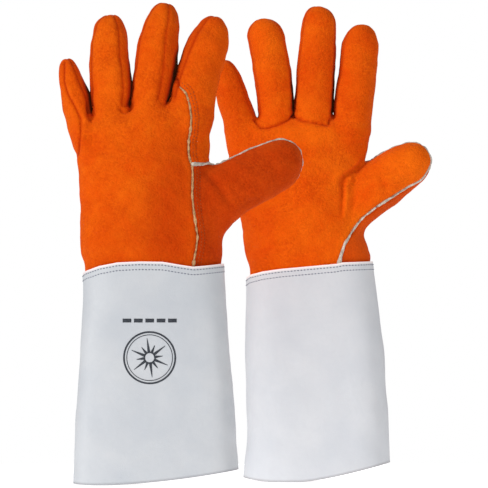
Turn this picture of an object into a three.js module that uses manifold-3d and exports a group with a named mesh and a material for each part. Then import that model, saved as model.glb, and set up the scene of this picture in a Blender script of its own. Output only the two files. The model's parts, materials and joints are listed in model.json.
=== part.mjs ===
// A pair of welding gloves standing on their gauntlet cuffs, fingers up, in millimetres.
// The left glove shows the back of the hand towards -Y, the right glove its palm. +Z is up.
// Each glove is shaped in its own frame: x to the thumb side, v to the palm, z to the fingers.
import * as THREE from 'three';
import { mergeVertices } from 'three/addons/utils/BufferGeometryUtils.js';
import Module from 'manifold-3d';

const wasm = await Module();
wasm.setup();

// Driving dimensions
const LEATHER = 1.8; // split cowhide
const LINING = 1.2; // fleece inside the hand and fingers
const GAP = 0.3; // left between touching pieces
const WELT = 1.5; // how far a welt stands out of its seam
const WELT_HALF = 0.9; // half of a welt's width
const GUSSET_HALF = 6; // half of a finger gusset's width
const WRIST = 172; // height of the wrist hinge and of the cuff's top edge
const WRIST_BEND = THREE.MathUtils.degToRad(16); // cut on each face of the hand at the wrist
const KNUCKLE_BEND = THREE.MathUtils.degToRad(31); // cut on each side of a digit's hinge
const KNUCKLE_HINGE = 4.5; // how far the hinge lies from the middle towards the palm
const ROOT = 24; // how far a digit's hollow runs down into the hand
const LEAN = 6; // how far a fingertip leans to the palm
const SEAM_TILT = THREE.MathUtils.degToRad(15); // turn of the thumb seam about the thumb
const FAR = 220; // beyond every surface of one glove
const DIGIT_SIDES = 12;
const BODY_SIDES = 24;
const SOFT_STEP = 2; // the lining's rings keep every second point of the leather's
const DOME = [0, 34, 58, 78].map(THREE.MathUtils.degToRad);

// The thumb seam's palm stretch, from the thumb hinge to the cuff, counted from the hinge
const PALM_SEAM = [[5.8, -12.8], [-6.9, -26.4], [-15.5, -39.2], [-19.8, -62]];

// cuff and hand: [height, centre, half width, half depth]; digits: hinge, tip, half widths, half depth
const GLOVES = {
  left: {
    plane: -52,
    palmSide: 1,
    cuff: [[0, -71.3, 66.9, 36], [87, -72.2, 60.2, 32], [WRIST, -73.6, 56.2, 30]],
    rim: [-50, -6, 12],
    hand: [
      [WRIST - 4, -74, 55.8, 30], [200, -74, 56.4, 28], [235, -78.5, 53, 26],
      [262, -80.6, 53, 24], [287, -84.5, 57, 20], [315, -86, 58, 17],
    ],
    hollowTop: 284,
    seam: [[-43.2, 315], [-38.4, WRIST]],
    junction: 254.8,
    digits: {
      little: { hinge: [-134, 289.6], tip: [-143, 337.9], width: [9.8, 10.5], depth: 12 },
      ring: { hinge: [-108.8, 295.2], tip: [-106.8, 373.8], width: [14, 15.2], depth: 13 },
      middle: { hinge: [-78.8, 300.8], tip: [-65.2, 383.4], width: [15, 16], depth: 13.5 },
      index: { hinge: [-44, 300.8], tip: [-24.4, 372.2], width: [16.6, 16], depth: 13.5 },
      thumb: { hinge: [-18.4, 232], tip: [44.4, 260.4], width: [24.6, 21], depth: 16 },
    },
  },
  right: {
    plane: 52,
    palmSide: -1,
    cuff: [[0, 58.6, 59.8, 35], [87, 56.8, 56.8, 31], [WRIST, 51.9, 50.3, 29]],
    rim: [50, 117, 16],
    hand: [
      [WRIST - 4, 51.7, 50.3, 29], [200, 47, 49, 27], [235, 43, 51.5, 25],
      [262, 41.5, 56, 23.5], [285, 41, 59, 20], [305, 41, 60, 17],
    ],
    hollowTop: 276,
    seam: [[74, 305], [70, WRIST]],
    junction: 246.8,
    digits: {
      little: { hinge: [-5.2, 287.2], tip: [-18.4, 339.2], width: [12.8, 13], depth: 12 },
      ring: { hinge: [23.2, 291.2], tip: [14, 372], width: [13.7, 14.4], depth: 13 },
      middle: { hinge: [54, 291.6], tip: [59.7, 382.4], width: [13.8, 14.6], depth: 13.5 },
      index: { hinge: [85.2, 290.4], tip: [92.6, 367.8], width: [15.2, 15], depth: 13.5 },
      thumb: { hinge: [95.2, 228.8], tip: [148.4, 264.8], width: [21.7, 19.5], depth: 16 },
    },
  },
};

const MATERIALS = {
  split: { color: 0xe4600c, roughness: 0.95, metalness: 0 },
  sidePanel: { color: 0xbf430a, roughness: 0.95, metalness: 0 },
  cuff: { color: 0xdcdfe6, roughness: 0.7, metalness: 0 },
  tanWelt: { color: 0xc98f58, roughness: 0.9, metalness: 0 },
  greyWelt: { color: 0xcabba6, roughness: 0.9, metalness: 0 },
  lining: { color: 0xe9e2d2, roughness: 1, metalness: 0 },
};

// ---- Solids ----

function toSolid(geometry) {
  geometry.deleteAttribute('normal');
  geometry.deleteAttribute('uv');
  const merged = mergeVertices(geometry, 1e-4);
  return new wasm.Manifold(new wasm.Mesh({
    numProp: 3,
    vertProperties: new Float32Array(merged.attributes.position.array),
    triVerts: new Uint32Array(merged.index.array),
  }));
}

function toGeometry(body) {
  const mesh = body.getMesh();
  const geometry = new THREE.BufferGeometry();
  geometry.setAttribute('position', new THREE.BufferAttribute(mesh.vertProperties, 3));
  geometry.setIndex(new THREE.BufferAttribute(mesh.triVerts, 1));
  return geometry;
}

// Closed skin over a stack of rings with equal point counts, of which every step-th point is used.
function loft(fullRings, step = 1) {
  const rings = fullRings.map((points) => points.filter((_, i) => i % step === 0));
  const sides = rings[0].length;
  const index = [];
  for (let level = 0; level < rings.length - 1; level += 1) {
    for (let i = 0; i < sides; i += 1) {
      const a = level * sides + i;
      const b = level * sides + (i + 1) % sides;
      index.push(a, b, b + sides, a, b + sides, a + sides);
    }
  }
  const top = (rings.length - 1) * sides;
  for (let i = 1; i < sides - 1; i += 1) {
    index.push(0, i + 1, i, top, top + i, top + i + 1);
  }
  const geometry = new THREE.BufferGeometry().setFromPoints(rings.flat());
  geometry.setIndex(index);
  return geometry;
}

// Rounded, slightly boxy ring at one height.
function ring(sides, height, centre, halfWidth, halfDepth) {
  const swell = (value) => Math.sign(value) * Math.abs(value) ** 0.85;
  return Array.from({ length: sides }, (_, i) => {
    const angle = ((i + 0.5) / sides) * 2 * Math.PI;
    const x = centre + halfWidth * swell(Math.cos(angle));
    return new THREE.Vector3(x, halfDepth * swell(Math.sin(angle)), height);
  });
}

function boxSolid(low, high, matrix = new THREE.Matrix4(), turn = new THREE.Matrix4()) {
  const size = high.map((value, i) => value - low[i]);
  const box = new THREE.BoxGeometry(...size);
  box.translate(...low.map((value, i) => value + size[i] / 2));
  return toSolid(box.applyMatrix4(turn).applyMatrix4(matrix));
}

// Upright outline in x and z, carried along v.
function prism(outline, vMin, vMax) {
  const shape = new THREE.Shape(outline.map(([x, z]) => new THREE.Vector2(x, z)));
  const geometry = new THREE.ExtrudeGeometry(shape, { depth: vMax - vMin, bevelEnabled: false });
  return toSolid(geometry.rotateX(Math.PI / 2).translate(0, vMax, 0));
}

// Outline of a strip with a polyline down its middle.
function strip(points, half) {
  const normals = points.map((point, i) => {
    const before = points[Math.max(i - 1, 0)];
    const after = points[Math.min(i + 1, points.length - 1)];
    const length = Math.hypot(after[0] - before[0], after[1] - before[1]);
    return [(before[1] - after[1]) / length, (after[0] - before[0]) / length];
  });
  const shifted = (by) => points.map(([x, z], i) => [x + by * normals[i][0], z + by * normals[i][1]]);
  return [...shifted(half), ...shifted(-half).reverse()];
}

// ---- Digits ----

// Frame of a digit: u across it, v to the palm, s along it from the hinge.
function digitFrame({ hinge, tip }) {
  const along = new THREE.Vector3(tip[0] - hinge[0], 0, tip[1] - hinge[1]);
  const length = along.length();
  along.normalize();
  const across = new THREE.Vector3(along.z, 0, -along.x);
  const matrix = new THREE.Matrix4().makeBasis(across, new THREE.Vector3(0, 1, 0), along);
  matrix.setPosition(hinge[0], 0, hinge[1]);
  return { matrix, along, across, length };
}

// Solid of a digit's outside, drawn in by inset all round.
function digitForm(digit, inset, start, step = 1) {
  const { matrix, length } = digitFrame(digit);
  const [base, middle] = digit.width.map((value) => value - inset);
  const depth = digit.depth - inset;
  const end = length - inset;
  const rings = [
    ring(DIGIT_SIDES, start, 0, base, depth),
    ...DOME.map((angle) => {
      const height = end - middle * (1 - Math.sin(angle));
      return ring(DIGIT_SIDES, height, 0, middle * Math.cos(angle), depth * Math.cos(angle));
    }),
  ];
  if (start < 0) {
    rings.splice(1, 0, ring(DIGIT_SIDES, 0, 0, base, depth));
  }
  return toSolid(loft(rings, step).applyMatrix4(matrix));
}

// Turn about the hinge line, which lies across the digit on the palm side of its middle.
function hingeTurn(angle) {
  return new THREE.Matrix4()
    .makeTranslation(0, KNUCKLE_HINGE, 0)
    .multiply(new THREE.Matrix4().makeRotationX(angle))
    .multiply(new THREE.Matrix4().makeTranslation(0, -KNUCKLE_HINGE, 0));
}

// Everything past the hinge, bevelled on the palm side so that the digit can bend.
function digitZone(digit) {
  const { matrix } = digitFrame(digit);
  const low = [-FAR, -FAR, GAP / 2];
  const high = [FAR, FAR, FAR];
  const straight = boxSolid(low, high, matrix);
  const bevelled = boxSolid(low, high, matrix, hingeTurn(KNUCKLE_BEND));
  return straight.intersect(bevelled);
}

// The matching bevel that the hand loses below each digit.
function handNotch(digit) {
  const { matrix } = digitFrame(digit);
  const half = digit.width[0] + 1;
  const low = [-half, KNUCKLE_HINGE, -GAP / 2];
  const high = [half, FAR, FAR / 4];
  return boxSolid(low, high, matrix, hingeTurn(-KNUCKLE_BEND));
}

function digitPieces(name, digit) {
  const { matrix } = digitFrame(digit);
  const zone = digitZone(digit);
  const shell = digitForm(digit, 0, -2).subtract(digitForm(digit, LEATHER, -6)).intersect(zone);
  const outside = LEATHER + GAP;
  const lining = digitForm(digit, outside, -2, SOFT_STEP)
    .subtract(digitForm(digit, outside + LINING, -6, SOFT_STEP))
    .intersect(zone);
  const cell = (low, high, turn) => boxSolid(low, high, matrix, turn);
  const edge = GUSSET_HALF + GAP;
  const backCell = cell([-FAR, -FAR, -FAR], [FAR, -edge, FAR]);
  const frontCell = cell([-FAR, edge, -FAR], [FAR, FAR, FAR]);
  const gusset = (side) => {
    const low = side < 0 ? -FAR : 0;
    return shell.intersect(cell([low, -GUSSET_HALF, -FAR], [low + FAR, GUSSET_HALF, FAR]));
  };
  const pieces = { lining: [lining, 'lining'] };
  if (name === 'thumb') {
    const turn = new THREE.Matrix4().makeRotationZ(SEAM_TILT);
    const clear = WELT_HALF + GAP;
    const welt = digitForm(digit, -WELT, -2).subtract(digitForm(digit, LEATHER, -6)).intersect(zone);
    pieces.front = [shell.intersect(cell([-FAR, clear, -FAR], [FAR, FAR, FAR], turn)), 'split'];
    pieces.back = [shell.intersect(cell([-FAR, -FAR, -FAR], [FAR, -clear, FAR], turn)), 'sidePanel'];
    const weltCell = cell([-FAR, -WELT_HALF, -FAR], [FAR, WELT_HALF, FAR], turn);
    pieces.welt = [welt.intersect(weltCell), 'greyWelt'];
  } else if (name === 'index') {
    const cut = cell([-FAR, -edge, -FAR], [0, edge, FAR]);
    pieces.wrap = [shell.subtract(cut), 'split'];
    pieces.gusset = [gusset(-1), 'split'];
  } else if (name === 'little') {
    const fold = -0.4 * digit.width[0];
    const outer = cell([-FAR, -FAR, -FAR], [fold, FAR, FAR]);
    const inner = cell([fold + GAP, -FAR, -FAR], [FAR, FAR, FAR]);
    pieces.back = [shell.intersect(backCell).intersect(inner), 'split'];
    pieces.wrap = [shell.intersect(frontCell.add(outer)), 'split'];
    pieces.gusset = [gusset(1), 'split'];
  } else {
    pieces.back = [shell.intersect(backCell), 'split'];
    pieces.front = [shell.intersect(frontCell), 'split'];
    pieces.outer_gusset = [gusset(-1), 'split'];
    pieces.inner_gusset = [gusset(1), 'split'];
  }
  return pieces;
}

// ---- Hand ----

function bodyForm(sections, inset, step = 1) {
  const rings = sections.map(([height, centre, halfWidth, halfDepth]) => (
    ring(BODY_SIDES, height, centre, halfWidth - inset, halfDepth - inset)
  ));
  return toSolid(loft(rings, step));
}

// Mound that carries the thumb, from inside the palm to the thumb hinge.
function thumbMound(thumb, inset, step) {
  const { matrix } = digitFrame(thumb);
  const half = thumb.width[0] - inset;
  const rings = [[-44, 0.7, 20], [-20, 0.95, 19], [3, 1, 16]].map(([height, share, depth]) => (
    ring(DIGIT_SIDES, height, 0, half * share, depth - inset)
  ));
  return toSolid(loft(rings, step).applyMatrix4(matrix));
}

function handForm(glove, inset, step = 1) {
  return bodyForm(glove.hand, inset, step).add(thumbMound(glove.digits.thumb, inset, step));
}

// The hollow of the hand, which stops below the knuckles, with every digit's hollow.
function hollow(glove, inset, step = 1) {
  const below = glove.hand.filter(([height]) => height < glove.hollowTop);
  const above = glove.hand[below.length];
  const last = below[below.length - 1];
  const share = (glove.hollowTop - last[0]) / (above[0] - last[0]);
  const lid = last.map((value, i) => THREE.MathUtils.lerp(value, above[i], share));
  lid[0] = glove.hollowTop + LEATHER - inset;
  const start = [below[0][0] - 8, ...below[0].slice(1)];
  const hand = bodyForm([start, ...below.slice(1), lid], inset, step);
  return Object.values(glove.digits).reduce(
    (sum, digit) => sum.add(digitForm(digit, inset, -ROOT, step)),
    hand.add(thumbMound(glove.digits.thumb, inset, step)),
  );
}

// The hand's outline: straight across at each digit's hinge, with the notches that let it bend.
function handZone(glove) {
  const { little, ring: third, middle, index, thumb } = glove.digits;
  const ends = [little, third, middle, index, thumb].flatMap((digit) => {
    const { along, across } = digitFrame(digit);
    const reach = digit.width[0] + GAP;
    return [-reach, reach].map((by) => [
      digit.hinge[0] + by * across.x - (GAP / 2) * along.x,
      digit.hinge[1] + by * across.z - (GAP / 2) * along.z,
    ]);
  });
  const outline = [
    [-FAR, 0],
    [-FAR, ends[0][1]],
    ...ends,
    [thumb.hinge[0] + 30, 0],
  ];
  const low = [-FAR, -FAR, GAP];
  const high = [FAR, FAR, 2 * FAR];
  const wrist = new THREE.Matrix4().makeTranslation(0, 0, WRIST);
  const wristCut = [-WRIST_BEND, WRIST_BEND].map((angle) => (
    boxSolid(low, high, wrist, new THREE.Matrix4().makeRotationX(angle))
  ));
  const zone = prism(outline, -FAR, FAR).intersect(wristCut[0]).intersect(wristCut[1]);
  return Object.values(glove.digits).reduce((rest, digit) => rest.subtract(handNotch(digit)), zone);
}

function handPieces(glove) {
  const zone = handZone(glove);
  const cavity = hollow(glove, LEATHER);
  const shell = handForm(glove, 0).subtract(cavity).intersect(zone);
  const proud = handForm(glove, -WELT).subtract(cavity).intersect(zone);
  const outside = LEATHER + GAP;
  const lining = hollow(glove, outside, SOFT_STEP)
    .subtract(hollow(glove, outside + LINING, SOFT_STEP))
    .intersect(zone);
  const clear = WELT_HALF + GAP;
  const [[topX, topZ], [lowX, lowZ]] = glove.seam;
  const { junction } = glove;
  const seamX = (z) => lowX + ((topX - lowX) * (z - lowZ)) / (topZ - lowZ);
  const { hinge } = glove.digits.thumb;
  const palmSeam = PALM_SEAM.map(([x, z]) => [hinge[0] + x, hinge[1] + z]);
  palmSeam.unshift([hinge[0] + 20, hinge[1] - 2]);
  const sideOf = (by) => palmSeam.map(([x, z]) => [x + by, z]);
  const slant = 1.6 * clear;

  const backOutline = [
    [-FAR, 0], [seamX(0) - clear, 0], [seamX(topZ + 20) - clear, topZ + 20], [-FAR, topZ + 20],
  ];
  const wrapOutline = [
    [seamX(junction) + clear, junction + clear], [FAR, junction + clear],
    [FAR, topZ + 20], [seamX(topZ + 20) + clear, topZ + 20],
  ];
  const sideOutline = [
    [seamX(0) + clear, 0], [FAR, 0], [FAR, junction - clear],
    [seamX(junction) + clear, junction - clear],
  ];
  const palmOutline = [[-FAR, 0], [-FAR, FAR * 2], [FAR, FAR * 2], [FAR, hinge[1] - 2 + slant],
    ...sideOf(-slant), [palmSeam.at(-1)[0] - slant, 0]];
  const heelOutline = [[FAR, hinge[1] - 2 - slant], ...sideOf(slant),
    [palmSeam.at(-1)[0] + slant, 0], [FAR, 0]];
  const half = GAP / 2;
  const back = prism(backOutline, -FAR, -half);
  const wrap = prism(wrapOutline, -FAR, half + GAP);
  const palm = prism(palmOutline, half, FAR);
  const side = prism(sideOutline, -FAR, -half);
  const heel = prism(heelOutline, -half - GAP, FAR);
  const backSeam = strip([[seamX(WRIST - 20), WRIST - 20], [seamX(topZ + 20), topZ + 20]], WELT_HALF);
  const backThumbSeam = strip(
    [[seamX(junction) + clear, junction], [hinge[0] + 20, junction]],
    WELT_HALF,
  );
  return {
    hand_back: [shell.intersect(back), 'split'],
    palm: [shell.intersect(palm.add(wrap)), 'split'],
    side_panel: [shell.intersect(side.add(heel)), 'sidePanel'],
    back_seam_welt: [proud.intersect(prism(backSeam, -FAR, -2)), 'tanWelt'],
    thumb_welt_back: [proud.intersect(prism(backThumbSeam, -FAR, -8)), 'greyWelt'],
    thumb_welt_palm: [proud.intersect(prism(strip(palmSeam, WELT_HALF), 2, FAR)), 'greyWelt'],
    hand_lining: [lining, 'lining'],
  };
}

// ---- Cuff ----

function cuffPieces({ cuff, rim: [flatEnd, riseEnd, rise] }) {
  const [[, ...mouth]] = cuff;
  const [[, ...crown]] = cuff.slice(-1);
  const through = [[-10, ...mouth], ...cuff, [WRIST + 10, ...crown]];
  const slope = rise / (riseEnd - flatEnd);
  const outline = [
    [-FAR, 0], [flatEnd, 0], [FAR, (FAR - flatEnd) * slope],
    [FAR, WRIST - GAP / 2], [-FAR, WRIST - GAP / 2],
  ];
  const shell = bodyForm(cuff, 0)
    .subtract(bodyForm(through, LEATHER))
    .intersect(prism(outline, -FAR, FAR));
  const half = (vMin, vMax) => shell.intersect(boxSolid([-FAR, vMin, -FAR], [FAR, vMax, FAR]));
  return {
    cuff_back: [half(-FAR, -GAP / 2), 'cuff'],
    cuff_palm: [half(GAP / 2, FAR), 'cuff'],
  };
}

// ---- Assembly ----

// Leans a digit's end to the palm, and turns the glove's frame into the pair's frame.
function place(geometry, glove, digit) {
  const position = geometry.attributes.position;
  const frame = digit && digitFrame(digit);
  const point = new THREE.Vector3();
  for (let i = 0; i < position.count; i += 1) {
    point.fromBufferAttribute(position, i);
    if (frame) {
      const reach = point.x * frame.along.x + point.z * frame.along.z
        - digit.hinge[0] * frame.along.x - digit.hinge[1] * frame.along.z;
      point.y += (LEAN * reach) / frame.length;
    }
    position.setXYZ(i, point.x, point.y * glove.palmSide, point.z);
  }
  if (glove.palmSide < 0) {
    const index = geometry.index.array;
    for (let i = 0; i < index.length; i += 3) {
      [index[i], index[i + 1]] = [index[i + 1], index[i]];
    }
  }
  return geometry;
}

function addPieces(parent, prefix, pieces, glove, digit) {
  for (const [name, [body, material]] of Object.entries(pieces)) {
    const geometry = place(toGeometry(body), glove, digit);
    geometry.computeVertexNormals();
    const mesh = new THREE.Mesh(geometry, new THREE.MeshStandardMaterial(MATERIALS[material]));
    mesh.name = `${prefix}_${name}`;
    parent.add(mesh);
  }
}

const group = new THREE.Group();
for (const [hand, glove] of Object.entries(GLOVES)) {
  const pair = new THREE.Group();
  pair.position.y = glove.plane;
  addPieces(pair, hand, cuffPieces(glove), glove);
  addPieces(pair, hand, handPieces(glove), glove);
  for (const [name, digit] of Object.entries(glove.digits)) {
    addPieces(pair, `${hand}_${name}`, digitPieces(name, digit), glove, digit);
  }
  group.add(pair);
}

// The origin is the middle of the pair's footprint, on the surface that the cuffs stand on.
const middle = new THREE.Box3().setFromObject(group).getCenter(new THREE.Vector3());
group.position.set(-middle.x, -middle.y, 0);

export default group;
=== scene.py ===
import json
import math

import bpy
import numpy as np
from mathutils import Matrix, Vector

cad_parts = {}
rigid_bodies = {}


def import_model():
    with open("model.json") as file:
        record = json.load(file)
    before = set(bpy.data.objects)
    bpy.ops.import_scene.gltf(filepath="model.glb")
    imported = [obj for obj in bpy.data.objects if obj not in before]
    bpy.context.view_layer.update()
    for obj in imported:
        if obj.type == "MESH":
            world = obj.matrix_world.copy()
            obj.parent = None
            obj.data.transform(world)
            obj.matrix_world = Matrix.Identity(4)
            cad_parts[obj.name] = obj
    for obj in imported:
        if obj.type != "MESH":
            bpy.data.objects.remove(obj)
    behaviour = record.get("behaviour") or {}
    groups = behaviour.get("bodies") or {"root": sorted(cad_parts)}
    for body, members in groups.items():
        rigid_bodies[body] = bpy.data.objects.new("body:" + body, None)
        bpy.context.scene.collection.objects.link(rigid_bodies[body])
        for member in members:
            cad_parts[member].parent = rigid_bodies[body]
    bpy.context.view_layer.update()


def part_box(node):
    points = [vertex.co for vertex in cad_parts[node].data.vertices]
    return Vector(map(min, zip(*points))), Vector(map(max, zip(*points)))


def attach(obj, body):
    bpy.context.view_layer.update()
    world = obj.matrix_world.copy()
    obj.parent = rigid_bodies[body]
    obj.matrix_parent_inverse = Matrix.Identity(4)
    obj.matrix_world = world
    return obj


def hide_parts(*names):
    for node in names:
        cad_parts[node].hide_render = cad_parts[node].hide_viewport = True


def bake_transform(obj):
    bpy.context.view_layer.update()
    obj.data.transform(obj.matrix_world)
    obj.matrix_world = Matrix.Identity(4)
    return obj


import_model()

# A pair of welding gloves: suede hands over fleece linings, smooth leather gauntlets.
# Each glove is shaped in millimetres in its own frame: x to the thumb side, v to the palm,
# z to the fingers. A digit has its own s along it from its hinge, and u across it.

import openvdb
from mathutils import Vector

SEEDS = {"left": (11, 3), "right": (31, 4)}  # of the hand's unevenness and the cuff's

# Leather and fleece
STEP = 1.3  # spacing of the suede's points
LINING_STEP = 2.4
LEATHER = 1.6  # thickness of a suede panel
LINING_DEPTH = 2.5  # from the suede's face to the fleece
LINING_THICKNESS = 1.1
CUFF_LEATHER = 1.8

# Form: the power of a section is 2 for an ellipse and more for a boxier one
BOXY = (2.35, 2.12)  # power of the hand's sections, at the wrist and above
BOXY_SPAN = (185, 235)  # heights between which it changes
PRESSED = (2.7, 3.5)  # power of a cuff's sections, at its hem and below
PRESSED_SPAN = (165, 105)
ROUND = 2.06  # power of the digits' sections
DOME = 2.3  # power of the rounded ends
PALM_END = 13  # depth of the palm's rounded end
ROOT_END = 12  # length of a digit's rounded root
FINGER_MEET = 1.2  # how softly neighbouring fingers meet
FINGER_BLEND = 6.0  # how softly a finger runs into the palm
THUMB_BLEND = (7.0, 3.2)  # how softly the thumb runs in, low down and at its crotch
THUMB_BLEND_SPAN = (222, 246)
LEAN = 6.0  # how far a digit's tip leans to the palm
TUCK = 11.0  # how far the hand runs down inside the cuff
LINING_TUCK = 9.5
FREE_SPAN = (174, 186)  # heights between which the suede comes free of the cuff
CUFF_TOP = 176  # near the cuff's top edge

# The boxes that skins are grown in
ROOM = 24  # beside a digit's axis
HAND_DEPTHS = (-38.0, 40.0)
FINGER_DEPTHS = (-26.0, 32.0)
SKIN_START = 150.0

# Bends
FINGER_BEND = 21  # length past its cut to where a finger's bend would end; nothing is bent with it
THUMB_BEND = 26

# Seams
FINGER_HALF, FINGER_DEPTH = 14, 12  # half sizes, which turn shares into millimetres
THUMB_HALF = 15
# The thumb's seam: place along the thumb, and how far out it lies there as a share
THUMB_REACH = ([0, 16, 34, 46, 60], [0.62, 0.69, 0.8, 0.93, 0.98])
THUMB_START = 0.12  # where it starts at the thumb's other edge, towards the back
THUMB_TOP = 262  # how high it reaches on the hand
# The little finger's wrap: place along the finger, and u of its edge on the back
WRAP_LINE = ([0, 10, 21, 32, 44, 54], [3.2, 0.4, -3.4, -4.8, -2.2, 1.0])
SOFT_SEAM = {"left": 0.6, "right": 0.35}  # how strongly the gussets' seams show
ROW_SHARE = 0.35  # how strongly the rows beside the back seam do
GUSSET_SCALE, ROW_SCALE = 0.7, 1.5  # of their grooves: less than 1 makes them broader
WRAP_START = (255, 262)  # heights between which the little finger's wrap seam comes in
WRAP_REACH = 14  # beside the little finger's hinge
PITCH = 2.6  # of the stitches
TOPSTITCH = (3.2, 5.8)  # rows beside the back seam
HEM_ROWS = (2.6, 6.4)  # rows below the cuff's hem
GROOVE = (1.3, 0.85)  # depth and half width of a seam
PUFF = (0.5, 3.2, 2.0)  # its puffed edges: height, distance from the seam and half width
ON_BACK, ON_PALM = -3, 4  # v past which a seam counts as on that face

LINE_STEP = 1.1  # spacing of the points of a welt or a row
OVERLAP = 0.4  # of the trims' stretches at a digit's cut

# Tones: 1 is deep, 2 the darkest, -1 pale. The seams' tone is a dark line; the folds', gussets' and
# crotches' tones are painted shade
SEAM_TONE, FOLD_PAINTED_LIGHT_AND_SHADE, GUSSET_PAINTED_SHADE, CROTCH_PAINTED_SHADE = 0.9, 0.2, 0.3, 2.0
CROTCH_SPAN = (288, 296)  # heights between which the painted shade between fingers comes in
CUFF_INSIDE_TONE = 0.35

# Wear: height and size of each unevenness
WEAR = ((0.55, 46), (0.28, 19), (0.09, 7))
CUFF_WEAR = ((0.55, 70), (0.22, 24))
FLEECE_WEAR = (0.3, 9, 77)  # and its seed

# Cuffs
LOOSE_SPAN = (178, 60)  # heights between which the wall grows looser
SHARP = 40  # degrees from which an edge is sharp
CUFF_SEAM = (0.9, 2.2)  # depth and half width of the side seams
HEM_RIDGE = (0.25, 4.2, 1.6)  # height, distance below the hem's line and half width
INK = (-0.16, 0.1)  # depth of the print's faces in the cuff's leather

FINGERS = ("little", "ring", "middle", "index")
# A gusset's edges, as angles in degrees from the digit's side to the back and to the palm
GUSSETS = {
    "little": {"inner": (52, 34)},
    "ring": {"inner": (56, 24), "outer": (26, 24)},
    "middle": {"inner": (71, 24), "outer": (24, 24)},
    "index": {"outer": (44, 28)},
}

LENS = 738.0
EYE = (-0.0018, -8.0, 0.191)
# Lamps: name, place, size and power
LIGHTS = (
    ("fill", (1.6, -2.3, 0.6), 1.6, 22.0),
    ("back", (0.3, 2.4, 1.9), 1.6, 12.0),
)
KEYS = {"left": 52.0, "right": 60.0}  # power of the lamp on each glove
KEY_PLACE = (-2.3, -1.55, 1.15)
KEY_SIZE = 0.9
AIM = (0, 0, 0.2)

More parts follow.
